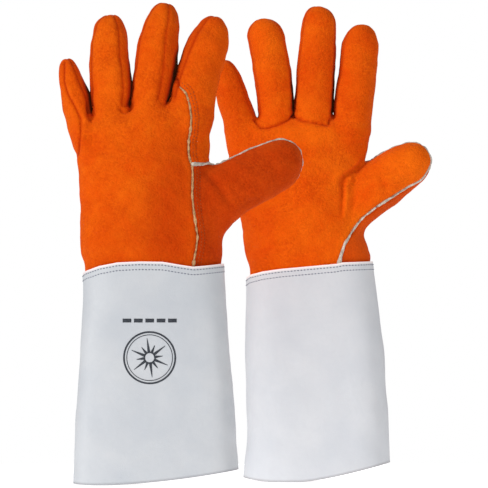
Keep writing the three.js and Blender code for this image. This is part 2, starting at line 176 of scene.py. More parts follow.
# plane: the glove's middle plane in the pair; side: its palm's side
# palm: [z, thumb-away edge, thumb edge, half depth]; digits: rows of [s, low u, high u, half depth]
# dome: s where the rounded end starts; cut: s where the digit leaves the hand
# seams are lines of [x, z]
GLOVES = {
    "left": {
        "plane": -52.0,
        "side": 1,
        "palm": [
            [150, -127.4, -19.8, 27.3], [176, -127.6, -19.6, 27.5], [184, -131.0, -18.4, 28.8],
            [200, -131.2, -19.6, 28.6], [221, -131.2, -25.0, 27.0], [245, -132.8, -28.0, 25.0],
            [262, -133.6, -28.6, 22.6], [276, -136.0, -28.6, 19.8], [291, -140.6, -28.2, 17.4],
            [315, -146.0, -26.0, 15.5],
        ],
        "crotches": [[-124.0, 291.8], [-95.6, 296.6], [-64.6, 302.5]],
        "digits": {
            "little": {
                "hinge": (-134.0, 289.6), "tip": (-143.0, 337.9), "cut": 3.0, "dome": 27.0,
                "rows": [[-24, -4.5, 11, 12], [-12, -7.0, 12.6, 12.4], [0, -9.0, 14.4, 12.8],
                         [18, -9.4, 14.6, 12], [31, -9.4, 10.6, 11.5], [38, -8.9, 9.2, 11],
                         [50, -8.2, 9.4, 10.5]],
            },
            "ring": {
                "hinge": (-108.8, 295.2), "tip": (-107.2, 372.8), "cut": 5.0, "dome": 54.0,
                "rows": [[-24, -13, 14, 13], [0, -14.3, 16.5, 14.2], [20, -15.1, 18.4, 13.2],
                         [46, -15.9, 14.8, 13], [60, -15.5, 12.6, 12.4], [77, -13.4, 12.8, 12]],
            },
            "middle": {
                "hinge": (-78.8, 300.8), "tip": (-64.8, 383.0), "cut": 6.0, "dome": 58.0,
                "rows": [[-24, -12, 13, 13.5], [0, -12.6, 17.0, 14.6], [14, -13.4, 19.6, 13.5],
                         [32, -14.9, 19.4, 13.5], [49, -14.9, 17.0, 13.5], [60, -13.9, 14.9, 12.8],
                         [84, -10.2, 14.4, 12]],
            },
            "index": {
                "hinge": (-44.0, 300.8), "tip": (-24.4, 372.2), "cut": 3.0, "dome": 48.0,
                "rows": [[-24, -16, 17, 13.5], [0, -18.6, 17.6, 14.6], [25, -18.2, 17.1, 13.5],
                         [40, -17.4, 17.0, 13.5], [50, -15.6, 17.0, 13.5], [60, -13.8, 16.4, 12.8],
                         [74, -13.6, 15.2, 12]],
            },
            "thumb": {
                "hinge": (-18.4, 232.0), "tip": (44.4, 260.4), "cut": 4.0, "dome": 48.0,
                "rows": [[-52, -6, 20, 15], [-30, -18, 28, 18], [-9, -25.0, 27.6, 17.4],
                         [3.5, -22.4, 23.8, 16.6], [16, -21.2, 21.2, 16.2], [37, -22.3, 19.8, 16],
                         [50, -21.6, 18.8, 15.6], [70, -20.0, 14.4, 14.5]],
            },
        },
        "back_seam": [[-54.5, 322], [-53.4, 316.6], [-47.2, 310.8], [-44.2, 301], [-42.8, 291.2],
                      [-43.8, 279.2], [-44.8, 273.2], [-45.2, 262.6], [-43.3, 255.8], [-41.9, 252],
                      [-41.9, 244], [-42.4, 230.4], [-40.9, 215.2], [-38.9, 203.2], [-38, 196.8],
                      [-38.9, 188], [-40.9, 178.4], [-42, 166]],
        "thumb_back": [[-60, 254.2], [-42.4, 254.4], [-33.6, 254.4], [-26.8, 255.6], [-21, 256.0],
                       [-14.2, 257.2], [-7.4, 260.0], [4, 265.6]],
        "thumb_palm": [[19.5, 236.4], [7.1, 231.2], [-3.8, 224.4], [-13, 215.6], [-21, 205.6],
                       [-27.6, 194.8], [-30.8, 184.8], [-31.8, 176], [-32, 160]],
        "wrap_edge": [[-138.0, 250], [-133.4, 262], [-131.4, 280], [-130.6, 291], [-129.4, 300]],
        "finger_bases": [
            [[-124.0, 292.0], [-116.0, 286.0], [-102.0, 288.0], [-95.0, 296.0]],
            [[-94.0, 296.0], [-84.0, 291.0], [-72.0, 293.0], [-65.0, 301.0]],
        ],
    },
    "right": {
        "plane": 52.0,
        "side": -1,
        "palm": [
            [150, 3.6, 98.8, 26.4], [174, 3.4, 99.6, 26.6], [181, -0.6, 101.4, 28.0],
            [194, -2.0, 96.8, 28.0], [203, -2.8, 92.0, 27.6], [214, -4.9, 89.6, 26.8],
            [235, -9.7, 89.0, 25.2], [258, -14.4, 96.2, 22.8], [272, -15.0, 99.2, 20.2],
            [283, -14.8, 100.2, 18.0], [305, -14.0, 100.2, 15.5],
        ],
        "crotches": [[8.6, 292.4], [37.4, 290.8], [67.1, 291.4]],
        "digits": {
            "little": {
                "hinge": (-5.2, 287.2), "tip": (-18.4, 339.2), "cut": 3.0, "dome": 37.0,
                "rows": [[-24, -10, 12, 12], [0, -11.2, 14.4, 12.8], [20, -12.8, 12.4, 12],
                         [40, -12.0, 10.9, 11.5], [54, -11.0, 10.2, 11]],
            },
            "ring": {
                "hinge": (23.2, 291.2), "tip": (14.0, 372.0), "cut": 5.0, "dome": 66.0,
                "rows": [[-24, -12, 14, 13], [0, -12.2, 16.2, 14.2], [22, -11.3, 18.2, 13.2],
                         [50, -13.4, 16.6, 13], [70, -15.2, 14.6, 12.2], [81, -14.6, 13.2, 12]],
            },
            "middle": {
                "hinge": (54.0, 291.6), "tip": (59.7, 382.4), "cut": 6.0, "dome": 75.0,
                "rows": [[-24, -14, 14, 13.5], [0, -16.6, 16.2, 14.6], [25, -15.6, 15.8, 13.5],
                         [55, -14.5, 14.8, 13.2], [79, -13.3, 13.8, 12.2], [91, -12.8, 12.8, 12]],
            },
            "index": {
                "hinge": (85.2, 290.4), "tip": (92.6, 367.8), "cut": 3.0, "dome": 57.0,
                "rows": [[-24, -14, 8.0, 13.5], [-11, -14.4, 12.6, 14.0], [0, -15.0, 17.0, 14.6],
                         [15, -15.4, 16.4, 13.5], [30, -14.6, 16.4, 13.5], [48, -13.4, 17.7, 13.4],
                         [62, -13.6, 17.0, 12.6], [78, -12.4, 15.0, 12]],
            },
            "thumb": {
                "hinge": (95.2, 228.8), "tip": (147.2, 264.4), "cut": 4.0, "dome": 42.0,
                "rows": [[-52, -4, 22, 15], [-30, -16, 24, 18], [-12, -20.5, 20.6, 17.4],
                         [4, -21.3, 18.8, 16.6], [20, -21.0, 18.7, 16.2], [40, -19.6, 17.6, 16],
                         [50, -18.4, 16.2, 15], [64, -17.0, 14.0, 14]],
            },
        },
        "back_seam": [[71.0, 312], [76.0, 302], [76.6, 288], [75.4, 268], [74.6, 246.4],
                      [75.0, 226], [73.4, 206], [71.2, 190], [70.0, 166]],
        "thumb_back": [[50, 246.2], [75.6, 246.4], [86, 247.2], [95, 250.6], [104, 257.0],
                       [116, 265.0]],
        "thumb_palm": [[132.2, 235.5], [115.7, 226.7], [104.7, 220.2], [93.8, 211.4], [86.0, 201.5],
                       [79.4, 190.6], [76.2, 180.6], [75.1, 176.2], [74.8, 160]],
        "wrap_edge": [[-20.0, 250], [-13.6, 262], [-9.6, 278], [-7.4, 290], [-6.0, 300]],
        "finger_bases": [
            [[7.0, 291.0], [11.9, 284.6], [18, 284.8], [26, 287.0], [34.6, 290.6], [37, 294]],
            [[38.6, 293.0], [46.8, 289.6], [57.2, 288.0], [66.6, 286.4], [67.6, 291.0]],
        ],
    },
}
# rows: [z, thumb-away edge, thumb edge, half depth]; top: the hem's line
# rise: where the lower edge starts and ends to rise, how far, and its power
# corner: place, reach and lift of the lower edge's raised corner
CUFFS = {
    "left": {
        "rows": [[0, -138.2, -4.4, 36], [24, -136.6, -6.7, 34.6], [68, -134.1, -10.3, 32.6],
                 [112, -130.9, -13.4, 31.2], [144, -128.9, -15.5, 30.3],
                 [176, -129.8, -17.3, 29.8]],
        "top": [[-131, 166.4], [-127, 169.6], [-116, 173.6], [-101.4, 176.4], [-84, 177.2],
                [-65.6, 176.9], [-51, 174.4], [-41.4, 173.0], [-31.6, 173.8], [-17, 175.4]],
        "rise": (-116.0, -6.0, 12.2, 1.65),
        "corner": (-138.2, 22.0, 1.2),
    },
    "right": {
        "rows": [[0, -1.2, 118.4, 35], [30, 0.7, 116.6, 33.8], [68, 0.6, 114.4, 32.0],
                 [106, 0.2, 110.9, 30.6], [144, 0.4, 106.6, 29.6], [176, 0.6, 102.4, 29.0]],
        "top": [[0, 163.4], [3.2, 166.2], [14, 169.0], [27.9, 171.0], [60.8, 174.0], [74, 175.2],
                [78, 176.2], [101, 177.0]],
        "rise": (44.0, 117.3, 16.0, 1.3),
        "corner": (-1.2, 26.0, 3.4),
    },
}


# ---- Numbers ----

def profile(table, soft=7.0):
    """Smooth interpolation through rows of [position, value, ...]."""
    rows = np.array(table, float)
    margin, step = 40, 0.5
    at = np.arange(rows[0, 0] - margin, rows[-1, 0] + margin, step)
    kernel = np.hanning(int(2 * soft / step) + 3)
    kernel /= kernel.sum()
    pad = len(kernel) // 2
    columns = []
    for column in rows[:, 1:].T:
        values = np.pad(np.interp(at, rows[:, 0], column), pad, mode="edge")
        columns.append(np.convolve(values, kernel, "valid")[:len(at)])
    return lambda x: [np.interp(x, at, column) for column in columns]


def ripple(points, size, seed, waves=16):
    """Smooth seeded unevenness with features of about that size, mostly within -1 and 1."""
    rng = np.random.default_rng(seed)
    total = np.zeros(len(points))
    for _ in range(waves):
        direction = rng.normal(size=3)
        direction *= rng.uniform(0.7, 1.5) / np.linalg.norm(direction)
        total += np.sin(points @ direction * 2 * math.pi / size + rng.uniform(0, 2 * math.pi))
    return total / math.sqrt(waves)


def wear(points, layers, seed):
    """Unevenness of several heights and sizes."""
    return sum(height * ripple(points, size, seed + i) for i, (height, size) in enumerate(layers))


def smoothstep(x, low, high):
    t = np.clip((x - low) / (high - low), 0, 1)
    return t * t * (3 - 2 * t)


def unit(vectors):
    return vectors / np.maximum(np.linalg.norm(vectors, axis=-1, keepdims=True), 1e-9)


def soft_min(a, b, k):
    h = np.clip(0.5 + 0.5 * (b - a) / k, 0, 1)
    return b + (a - b) * h - k * h * (1 - h)


def follow(x, z, points):
    """Distance to a line in x and z, positive to the left of its direction, and the way along."""
    points = np.array(points, float)
    best = np.full(np.shape(x), 1e9)
    signed = np.zeros(np.shape(x))
    along = np.zeros(np.shape(x))
    travelled = 0.0
    for a, b in zip(points[:-1], points[1:]):
        d = b - a
        length = np.hypot(*d)
        t = np.clip(((x - a[0]) * d[0] + (z - a[1]) * d[1]) / length ** 2, 0, 1)
        gap_x, gap_z = x - a[0] - t * d[0], z - a[1] - t * d[1]
        distance = np.hypot(gap_x, gap_z)
        side = np.sign(d[0] * gap_z - d[1] * gap_x)
        nearer = distance < best
        signed = np.where(nearer, side * distance, signed)
        along = np.where(nearer, travelled + t * length, along)
        best = np.minimum(best, distance)
        travelled += length
    return signed, along


def beside(x, z, points):
    return follow(x, z, points)[0]


# ---- The hand's form ----

class Digit:
    def __init__(self, hinge, tip, rows, dome, cut):
        self.hinge = np.array(hinge)
        self.length = math.dist(hinge, tip)
        self.along = (np.array(tip) - self.hinge) / self.length
        self.tip = self.hinge + self.along * self.length
        self.shape = profile(rows)
        self.root = rows[0][0]
        self.dome = dome
        self.cut = cut

    def place(self, x, z):
        """s and u of points."""
        dx, dz = x - self.hinge[0], z - self.hinge[1]
        return dx * self.along[0] + dz * self.along[1], dx * self.along[1] - dz * self.along[0]

    def section(self, x, v, z):
        """s, place across and through the section as shares of its half sizes, and these."""
        s, u = self.place(x, z)
        low, high, depth = self.shape(s)
        half = (high - low) / 2
        across = (u - (low + high) / 2) / half
        through = (v - LEAN * s / self.length) / depth
        return s, across, through, half, depth

    def field(self, x, v, z):
        s, across, through, half, depth = self.section(x, v, z)
        radius = (np.abs(across) ** ROUND + np.abs(through) ** ROUND) ** (DOME / ROUND)
        end = np.clip((s - self.dome) / (self.length - self.dome), 0, None) ** DOME
        root = np.clip((self.root + ROOT_END - s) / ROOT_END, 0, None) ** DOME
        return ((radius + end + root) ** (1 / DOME) - 1) * np.minimum(half, depth)


class Hand:
    def __init__(self, spec):
        self.digits = {name: Digit(**digit) for name, digit in spec["digits"].items()}
        self.palm_shape = profile(spec["palm"], 8.0)
        self.crotches = np.array(spec["crotches"])
        self.spec = spec

    def palm_field(self, x, v, z):
        low, high, depth = self.palm_shape(z)
        across = (x - (low + high) / 2) / ((high - low) / 2)
        power = BOXY[0] + (BOXY[1] - BOXY[0]) * smoothstep(z, *BOXY_SPAN)
        radius = (np.abs(across) ** power + np.abs(v / depth) ** power) ** (DOME / power)
        top = np.interp(x, self.crotches[:, 0], self.crotches[:, 1])
        end = np.clip((z - top + PALM_END) / PALM_END, 0, None) ** DOME
        return ((radius + end) ** (1 / DOME) - 1) * depth

    def field(self, x, v, z):
        fingers = self.digits[FINGERS[0]].field(x, v, z)
        for name in FINGERS[1:]:
            fingers = soft_min(fingers, self.digits[name].field(x, v, z), FINGER_MEET)
        whole = soft_min(self.palm_field(x, v, z), fingers, FINGER_BLEND)
        low, high = THUMB_BLEND
        blend = low + (high - low) * smoothstep(z, *THUMB_BLEND_SPAN)
        return soft_min(whole, self.digits["thumb"].field(x, v, z), blend)

    def finger_field(self, name, x, v, z):
        """The palm with that finger alone."""
        finger = self.digits[name].field(x, v, z)
        return soft_min(self.palm_field(x, v, z), finger, FINGER_BLEND)

    def past_cut(self, r):
        """How far a point is past the end of the hand along its nearest finger."""
        x, v, z = r.T
        fingers = [self.digits[name] for name in FINGERS]
        past = [finger.place(x, z)[0] - finger.cut for finger in fingers]
        nearest = np.argmin([finger.field(x, v, z) for finger in fingers], axis=0)
        return np.take_along_axis(np.array(past), nearest[None], 0)[0]

    def others(self, name, r):
        """The least field of all digits but that one."""
        return np.min([digit.field(*r.T) for n, digit in self.digits.items() if n != name], axis=0)

    def digit_share(self, name, r):
        """Positive where a point belongs to that digit."""
        x, v, z = r.T
        digit, others = self.digits[name], self.others(name, r)
        if name == "thumb":
            others = np.minimum(others, self.palm_field(x, v, z) + 3)
        return np.minimum(digit.place(x, z)[0] - digit.cut, others - digit.field(x, v, z))

    def thumb_side(self, r):
        """Positive on the palm's side of the thumb seam, in millimetres from it."""
        x, v, z = r.T
        t = smoothstep(v, -4, 4)
        hand = (beside(x, z, self.spec["thumb_back"]) * (1 - t)
                - beside(x, z, self.spec["thumb_palm"]) * t)
        s, across, through = self.digits["thumb"].section(x, v, z)[:3]
        reach = np.interp(s, *THUMB_REACH)
        rise = (1 - reach ** ROUND) ** (1 / ROUND)
        drop = (across + 1) * (rise + THUMB_START) / (reach + 1)
        thumb = (through + THUMB_START - drop) * THUMB_HALF
        nearer = self.palm_field(x, v, z) - self.digits["thumb"].field(x, v, z)
        return hand + (thumb - hand) * smoothstep(s, -8, 14) * smoothstep(nearer, -4, 1)

    def gusset(self, name, side, r):
        """Positive within a finger's gusset, in millimetres from its seams."""
        _, across, through, _, _ = self.digits[name].section(*r.T)
        to_back, to_palm = (math.radians(a) for a in GUSSETS[name][side])
        across = across if side == "inner" else -across
        back = across * math.sin(to_back) + through * math.cos(to_back)
        palm = across * math.sin(to_palm) - through * math.cos(to_palm)
        return np.minimum(back, palm) * FINGER_HALF

    def back_seam(self, r):
        return beside(r[:, 0], r[:, 2], self.spec["back_seam"])

    def wrap_edge(self, r):
        """Positive on the back of the hand's side of the little finger's wrap."""
        x, _, z = r.T
        s, u = self.digits["little"].place(x, z)
        low = np.interp(z, *np.array(self.spec["wrap_edge"])[:, ::-1].T)
        return np.where(s > 0, u - np.interp(s, *WRAP_LINE), x - low)


# ---- Skins: points with their normals and undisturbed places, and triangles ----

def grow(field, low, high, step):
    """Skin of the form where field is negative."""
    axes = [np.arange(a, b, step, dtype=np.float32) for a, b in zip(low, high)]
    x, v, z = np.meshgrid(*axes, indexing="ij")
    band = 8.0
    grid = openvdb.FloatGrid(band)
    grid.copyFromArray(np.clip(field(x, v, z), -band, band).astype(np.float32))
    points, quads = grid.convertToQuads(0.0)
    points = np.array(points, float) * step + np.array(low)
    quads = np.array(quads, int)
    for _ in range(3):
        value, slope = slope_of(field, points)
        points = points - value[:, None] * slope / (slope ** 2).sum(1, keepdims=True)
    faces = outward(quads, points, slope)
    return {"p": points, "n": unit(slope), "r": points.copy(), "faces": faces}


def outward(quads, points, out):
    """Triangles of quads, turned so that they face along out, which has a row for each point."""
    faces = np.concatenate([quads[:, [0, 1, 2]], quads[:, [0, 2, 3]]])
    a, b, c = points[faces].transpose(1, 0, 2)
    turned = (np.cross(b - a, c - a) * out[faces[:, 0]]).sum() < 0
    return faces[:, ::-1] if turned else faces


def slope_of(field, points, reach=0.25):
    slope = np.empty_like(points)
    for axis, step in enumerate(np.eye(3) * reach):
        slope[:, axis] = (field(*(points + step).T) - field(*(points - step).T)) / (2 * reach)
    return field(*points.T), slope


def point_normals(points, faces):
    a, b, c = points[faces].transpose(1, 0, 2)
    normal = np.cross(b - a, c - a)
    total = np.zeros_like(points)
    for corner in range(3):
        np.add.at(total, faces[:, corner], normal)
    return unit(total)


def compact(skin, faces):
    """The skin with those triangles and only their points."""
    used, inverse = np.unique(faces, return_inverse=True)
    part = {key: value[used] for key, value in skin.items() if key != "faces"}
    part["faces"] = inverse.reshape(-1, 3)
    return part


def largest(skin):
    """The skin without its small loose parts."""
    faces = skin["faces"]
    label = np.arange(len(skin["p"]))
    while True:
        least = label[faces].min(1)
        new = label.copy()
        for corner in range(3):
            np.minimum.at(new, faces[:, corner], least)
        new = new[new]
        if (new == label).all():
            break
        label = new
    biggest = np.bincount(label[faces[:, 0]]).argmax()
    return compact(skin, faces[label[faces[:, 0]] == biggest])


def crossings(skin, values):
    """Mixed triangles with their lone corner first, and the points where their sides cross zero."""
    inside = values > 0
    faces = skin["faces"]
    count = inside[faces].sum(1)
    mixed = faces[(count == 1) | (count == 2)]
    flags = inside[mixed]
    lone = np.where(flags.sum(1) == 1, flags.argmax(1), (~flags).argmax(1))
    a, b, c = np.take_along_axis(mixed, (lone[:, None] + np.arange(3)) % 3, 1).T
    pairs = np.sort(np.concatenate([np.stack([a, b], 1), np.stack([a, c], 1)]), 1)
    sides, inverse = np.unique(pairs, axis=0, return_inverse=True)
    inverse = inverse.ravel()
    first, second = values[sides[:, 0]], values[sides[:, 1]]
    t = (first / (first - second))[:, None]
    new = {k: skin[k][sides[:, 0]] * (1 - t) + skin[k][sides[:, 1]] * t
           for k in skin if k != "faces"}
    new["n"] = unit(new["n"])
    return inside, count, (a, b, c), new, inverse[:len(a)], inverse[len(a):]


def split(skin, values):
    """The skin's parts where values is positive and where it isn't."""
    values = np.where(np.abs(values) < 1e-3, 1e-3, values)
    inside, count, (a, b, c), new, p, q = crossings(skin, values)
    total = len(values)
    whole = {k: np.concatenate([skin[k], new[k]]) for k in new}
    p, q = p + total, q + total
    tip = np.stack([a, p, q], 1)
    rest = np.stack([p, b, c, p, c, q], 1).reshape(-1, 2, 3)
    tip_in = inside[a]
    faces = skin["faces"]
    positive = np.concatenate([faces[count == 3], tip[tip_in], rest[~tip_in].reshape(-1, 3)])
    negative = np.concatenate([faces[count == 0], tip[~tip_in], rest[tip_in].reshape(-1, 3)])
    return compact(whole, positive), compact(whole, negative)


def trace(skin, values, keep):
    """The longest line along the skin where values is zero and keep allows it."""
    _, _, _, new, p, q = crossings(skin, values)
    allowed = keep(new["r"])
    links = {}
    for i, j in zip(p, q):
        if allowed[i] and allowed[j] and i != j:
            links.setdefault(i, []).append(j)
            links.setdefault(j, []).append(i)
    left = set(links)
    best = []
    while left:
        ends = [i for i in left if len(links[i]) == 1] or [next(iter(left))]
        line = [min(ends)]
        left.discard(line[0])
        while True:
            following = [j for j in links[line[-1]] if j in left]
            if not following:
                break
            line.append(following[0])
            left.discard(following[0])
        if len(line) > len(best):
            best = line
    return {k: new[k][best] for k in new}


def resample(line, step, smooth):
    """The line smoothed that many times, with evenly spaced points."""
    points = line["p"].copy()
    for _ in range(smooth):
        points[1:-1] = (points[:-2] + 2 * points[1:-1] + points[2:]) / 4
    way = np.concatenate([[0], np.cumsum(np.linalg.norm(np.diff(points, axis=0), axis=1))])
    at = np.linspace(0, way[-1], max(int(way[-1] / step), 2) + 1)
    return {k: np.stack([np.interp(at, way, column) for column in value.T], 1)
            for k, value in {**line, "p": points}.items()}


def part_of(line, keep):
    """Stretches of a line where keep is true."""
    out, start = [], None
    for i, good in enumerate(list(keep) + [False]):
        if good and start is None:
            start = i
        if not good and start is not None:
            if i - start > 2:
                out.append({k: v[start:i] for k, v in line.items()})
            start = None
    return out


# ---- Meshes ----

def make_mesh(name, points, faces, normals=None, tone=None, rest=None):
    mesh = bpy.data.meshes.new(name)
    mesh.from_pydata(points / 1000, [], faces)
    mesh.polygons.foreach_set("use_smooth", np.ones(len(mesh.polygons), bool))
    for key, values, kind in (("rest", (points if rest is None else rest) / 1000, "vector"),
                              ("tone", np.zeros(len(points)) if tone is None else tone, "value")):
        attribute = mesh.attributes.new(
            key, "FLOAT_VECTOR" if kind == "vector" else "FLOAT", "POINT")
        attribute.data.foreach_set(kind, np.asarray(values, np.float32).ravel())
    if normals is not None:
        mesh.normals_split_custom_set(normals.reshape(-1, 3).tolist())
    mesh.update()
    made = bpy.data.objects.new(name, mesh)
    bpy.context.scene.collection.objects.link(made)
    return made


def thicken(skin, thickness):
    """Points, triangles and corner normals of a panel with its inner face and edges."""
    points, normals, faces = skin["p"], skin["n"], skin["faces"]
    count = len(points)
    sides = np.concatenate([faces[:, [0, 1]], faces[:, [1, 2]], faces[:, [2, 0]]])
    code = sides[:, 0] * count + sides[:, 1]
    back = sides[:, 1] * count + sides[:, 0]
    i, j = sides[~np.isin(code, back)].T
    rim = np.concatenate([np.stack([j, i, i + count], 1), np.stack([j, i + count, j + count], 1)])
    every = np.concatenate([points, points - normals * thickness])
    a, b, c = every[rim].transpose(1, 0, 2)
    rim_normals = unit(np.cross(b - a, c - a))
    all_faces = np.concatenate([faces, faces[:, ::-1] + count, rim])
    corners = np.concatenate([
        normals[faces], -normals[faces[:, ::-1]], np.repeat(rim_normals[:, None], 3, 1)])
    return every, all_faces, corners


class Glove:
    """Places pieces of one glove in the pair's frame, which starts from the CAD's left cuff."""

    def __init__(self, name):
        self.name = name
        self.spec = GLOVES[name]
        self.hand = Hand(self.spec)
        low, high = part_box("left_cuff_back")
        cuff_edge, half_gap = -138.2, 0.15
        self.shift = np.array([
            low.x * 1000 - cuff_edge,
            high.y * 1000 + half_gap - GLOVES["left"]["plane"] + self.spec["plane"],
            0.0,
        ])
        self.flip = np.array([1.0, self.spec["side"], 1.0])

    def world(self, points):
        return points * self.flip + self.shift

    def piece(self, name, points, faces, material, slot, nodes, corners=None, tone=None, rest=None):
        if self.spec["side"] < 0:
            faces = faces[:, ::-1]
            corners = None if corners is None else corners[:, ::-1]
        if corners is not None:
            corners = corners * self.flip
        made = make_mesh(f"{self.name}_{name}", self.world(points), faces, corners, tone,
                         None if rest is None else self.world(rest))
        made.data.materials.append(material)
        if nodes:
            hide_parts(*[f"{self.name}_{node}" for node in nodes])
        return made

    def ride(self, made, body):
        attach(made, f"{self.name}_{body}")

    def bend(self, made, name):
        """Bakes a piece's placement into its mesh; for a digit it also works out the points where a
        bend would start and end, but bends nothing.
        """
        if name is None:
            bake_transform(made)
            return
        digit = self.hand.digits[name]
        for s in (digit.cut, digit.cut + (THUMB_BEND if name == "thumb" else FINGER_BEND)):
            x, z = digit.hinge + digit.along * s
            Vector(self.world(np.array([x, 0.0, z])) / 1000)
        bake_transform(made)


def sweep(centres, across, up, widths, heights, sides):
    """Closed strip through oval rings: points and triangles."""
    angles = np.arange(sides) / sides * 2 * math.pi
    rings = (centres[:, None] + across * (widths[:, None] * np.cos(angles))[..., None]
             + up * (heights[:, None] * np.sin(angles))[..., None])
    i, k = np.meshgrid(np.arange(len(rings) - 1), np.arange(sides), indexing="ij")
    a = (i * sides + k).ravel()
    b = (i * sides + (k + 1) % sides).ravel()
    fan = np.array([[0, j, j + 1] for j in range(1, sides - 1)])
    far_fan = fan[:, ::-1] + (len(rings) - 1) * sides
    faces = [np.stack([b + sides, b, a], 1), np.stack([a + sides, b + sides, a], 1), fan, far_fan]
    return rings.reshape(-1, 3), np.concatenate(faces)


def tube(line, half_width, half_height, lift, rough, seed, flare=None):
    """Closed strip along a line on a skin, wider where flare says."""
    p, n = line["p"], unit(line["n"])
    along = unit(np.gradient(p, axis=0))
    n = unit(n - (n * along).sum(1, keepdims=True) * along)
    across = np.cross(along, n)
    order = np.arange(len(p))
    taper = np.minimum(1, np.minimum(order, order[::-1]) / 1.5 + 0.25)
    width = half_width * (1 + rough * ripple(p, 7, seed)) * taper
    if flare is not None:
        width = width * flare(line)
    height = half_height * (1 + 0.6 * rough * ripple(p, 5, seed + 1)) * taper
    return sweep(p + n * lift, across[:, None], n[:, None], width, height, 8)


def stitches(line, radius=0.36, lift=0.12):
    """A row of sewn stitches along a line, one in every pitch."""
    fill, arching = 0.66, 0.35
    even = resample(line, PITCH, 0)
    p, n = even["p"], unit(even["n"])
    ring_at = np.array([-1, -0.72, 0, 0.72, 1])
    size = radius * np.array([0.2, 0.85, 1, 0.85, 0.2])
    row = []
    for start, end, normal in zip(p[:-1], p[1:], n):
        along = end - start
        length = np.linalg.norm(along)
        along = along / length
        normal = normal - (normal @ along) * along
        normal /= np.linalg.norm(normal)
        centre = (start + end) / 2 + normal * lift
        arch = centre + along * (ring_at * length * fill / 2)[:, None] \
            - normal * (ring_at ** 2 * arching)[:, None]
        row.append(sweep(arch, np.cross(along, normal), normal, size, size, 6))
    return join(row)


def join(parts):
    points, faces, total = [], [], 0
    for p, f in parts:
        points.append(p)
        faces.append(f + total)
        total += len(p)
    return np.concatenate(points), np.concatenate(faces)


# ---- Materials ----

def wire(tree, node, inputs):
    """Sets a node's inputs, by name or number, to values or links them to sockets."""
    for key, value in inputs.items():
        if isinstance(value, bpy.types.NodeSocket):
            tree.links.new(value, node.inputs[key])
        else:
            node.inputs[key].default_value = value


class Nodes:
    """A material's nodes, wired by name."""

    def __init__(self, name):
        self.material = bpy.data.materials.new(name)
        self.material.use_nodes = True
        self.tree = self.material.node_tree
        self.rest = self.node("Attribute", {}, attribute_name="rest")["Vector"]
        self.tone = self.node("Attribute", {}, attribute_name="tone")["Fac"]

    def node(self, kind, inputs, **settings):
        """The outputs of a new node."""
        node = self.tree.nodes.new(f"ShaderNode{kind}")
        for key, value in settings.items():
            setattr(node, key, value)
        wire(self.tree, node, inputs)
        return node.outputs

    def below_zero(self):
        """How far the tone is below 0."""
        return self.math("MAXIMUM", self.math("MULTIPLY", self.tone, -1.0), 0.0)

    def noise(self, scale, detail, roughness, distortion=0.0):
        return self.node("TexNoise", {"Scale": scale, "Detail": detail, "Roughness": roughness,
                                      "Distortion": distortion, "Vector": self.rest})["Fac"]

    def math(self, operation, a, b):
        return self.node("Math", {0: a, 1: b}, operation=operation)[0]

    def spread(self, value, low, high):
        """Maps a noise, which stays near a half, to 0..1 between low and high."""
        return self.node("MapRange", {"From Min": low, "From Max": high, "Value": value})["Result"]

    def mix(self, share, a, b):
        return self.node("Mix", {0: share, 6: a, 7: b}, data_type="RGBA")[2]

    def bump(self, height, distance, strength, under=None):
        inputs = {"Strength": strength, "Distance": distance, "Height": height}
        if under is not None:
            inputs["Normal"] = under
        return self.node("Bump", inputs)["Normal"]

    def finish(self, color, roughness, normal, sheen, sheen_tint, specular):
        wire(self.tree, self.tree.nodes["Principled BSDF"], {
            "Base Color": color, "Roughness": roughness, "Normal": normal, "Sheen Weight": sheen,
            "Sheen Roughness": 0.45, "Sheen Tint": sheen_tint, "Specular IOR Level": specular})
        return self.material


def srgb(*values):
    """Linear colour of 0 to 255 values."""
    return (*((v / 255 / 12.92) if v <= 10 else ((v / 255 + 0.055) / 1.055) ** 2.4
              for v in values), 1)


WHITE = (1, 1, 1, 1)
PAINTED_GAP_SHADOW = srgb(48, 12, 2)  # painted shadow in the narrow gaps between fingers


def suede(name, deep, mid, light):
    """Split leather: napped and blotchy; tone 1 is deep, 2 the darkest painted shadow, -1 pale
    painted light.
    """
    n = Nodes(name)
    blotch = n.spread(n.noise(34, 4, 0.6, 0.6), 0.32, 0.68)
    patch = n.spread(n.noise(55, 3, 0.55), 0.4, 0.62)  # where the pebble shows
    nap = n.spread(n.noise(190, 4, 0.62, 0.4), 0.3, 0.7)
    pebble = n.spread(n.noise(520, 2, 0.5), 0.36, 0.64)
    grain = n.spread(n.noise(1300, 3, 0.6), 0.28, 0.72)
    color = n.mix(n.math("MULTIPLY", blotch, 0.6), mid, light)
    color = n.mix(n.math("MULTIPLY", nap, 0.24), color, deep)
    color = n.mix(n.math("MULTIPLY", n.math("MULTIPLY", pebble, patch), 0.36), color, deep)
    color = n.mix(n.math("MULTIPLY", grain, 0.35), color, deep)
    # The tone darkens seams, and paints shade, highlights and the shadow between fingers
    color = n.mix(n.spread(n.tone, 0.0, 1.0), color, deep)
    color = n.mix(n.below_zero(), color, light)
    # Tone above 1 mixes in the painted shadow between fingers
    color = n.mix(n.spread(n.tone, 1.0, 2.0), color, PAINTED_GAP_SHADOW)
    rough = n.math("ADD", n.math("MULTIPLY", nap, 0.12), 0.84)
    normal = n.bump(grain, 0.0002, 0.6, n.bump(pebble, 0.0004, 0.7, n.bump(nap, 0.0006, 0.5)))
    return n.finish(color, rough, normal, 0.12, (1.0, 0.4, 0.12, 1), 0.06)


